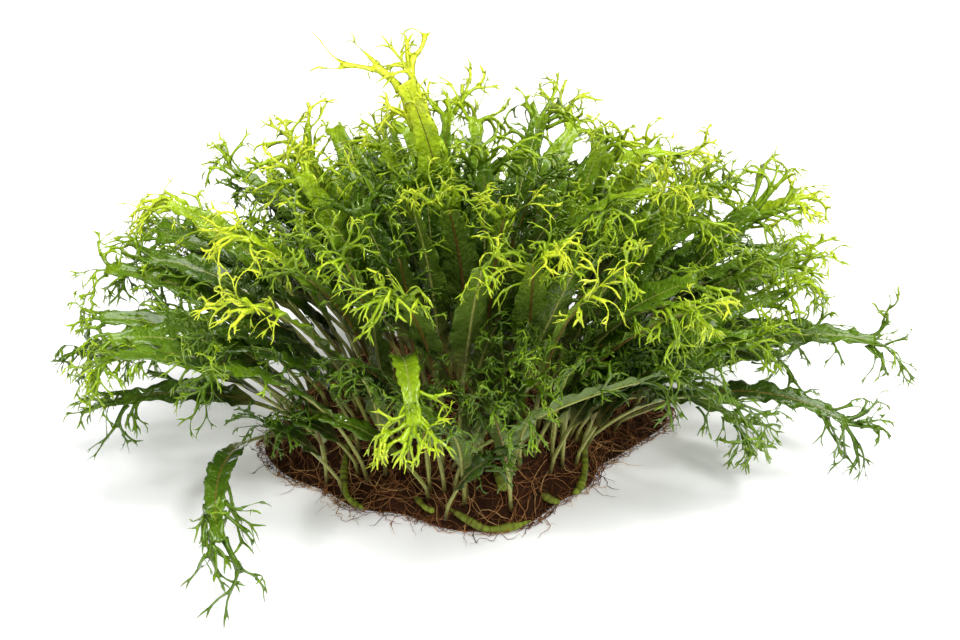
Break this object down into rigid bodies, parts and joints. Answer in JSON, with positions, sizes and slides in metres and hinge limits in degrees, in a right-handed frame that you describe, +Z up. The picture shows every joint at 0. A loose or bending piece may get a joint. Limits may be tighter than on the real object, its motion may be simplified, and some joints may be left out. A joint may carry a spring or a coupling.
{
  "type": "java fern clump",
  "caption": "Clump of crested java fern: strap-shaped fronds with finely forked tips, rising and arching from a pad of matted roots with creeping rhizomes.",
  "frame": {"origin": "on the surface that the clump rests on, below the middle of the root mat, at the mount underside", "axes": "+Z up, away from the underside of the root mat; +X to the right and +Y to the back, with the root mat's front corner towards -Y"},
  "size_m": [0.4419, 0.4031, 0.217],
  "materials": {
    "roots": "matted fibres, dark red-brown, dull with a damp gleam",
    "rhizome": "smooth and fleshy, yellow-green with fine dark rings",
    "young_leaf": "wet and glossy, yellow-green, thin enough to glow",
    "grown_leaf": "wet and glossy, mid green, quilted between the side veins",
    "old_leaf": "wet and glossy, dark green, quilted, paler on the underside"
  },
  "bodies": {
    "root": {"frond_27": "grown_leaf", "frond_28": "grown_leaf", "frond_29": "grown_leaf", "frond_30": "grown_leaf", "frond_31": "grown_leaf", "frond_32": "grown_leaf", "frond_33": "grown_leaf", "frond_34": "grown_leaf", "frond_35": "grown_leaf", "frond_36": "grown_leaf", "frond_37": "grown_leaf", "frond_38": "grown_leaf", "frond_39": "grown_leaf", "frond_40": "grown_leaf", "frond_41": "grown_leaf", "frond_42": "grown_leaf", "frond_43": "grown_leaf", "frond_44": "grown_leaf", "frond_45": "grown_leaf", "frond_46": "grown_leaf", "frond_47": "grown_leaf", "frond_48": "grown_leaf", "frond_49": "grown_leaf", "frond_50": "grown_leaf", "frond_front_hanging": "young_leaf", "frond_front_level": "young_leaf", "frond_left_dark": "old_leaf", "frond_left_level": "old_leaf", "frond_left_low": "old_leaf", "frond_left_olive": "grown_leaf", "frond_left_tip": "young_leaf", "frond_left_upright": "grown_leaf", "frond_middle_back": "old_leaf", "frond_middle_dark": "old_leaf", "frond_middle_left": "old_leaf", "frond_pale_leaning": "grown_leaf", "frond_pale_upright": "old_leaf", "frond_right_broad": "grown_leaf", "frond_right_dark": "old_leaf", "frond_right_fallen": "old_leaf", "frond_right_leaning": "grown_leaf", "frond_right_long": "old_leaf", "frond_right_loop": "young_leaf", "frond_right_low": "young_leaf", "frond_right_quilted": "grown_leaf", "frond_right_tip": "young_leaf", "frond_tallest": "young_leaf", "frond_trailing_left": "old_leaf", "frond_upper_left": "young_leaf", "frond_upper_right": "young_leaf", "rhizome_back_left": "rhizome", "rhizome_back_right": "rhizome", "rhizome_front_left_stub": "rhizome", "rhizome_front_right_stub": "rhizome", "rhizome_front_runner": "rhizome", "rhizome_front_stub": "rhizome", "rhizome_left_curved": "rhizome", "rhizome_right_curved": "rhizome", "root_mat": "roots"}
  },
  "joints": []
}
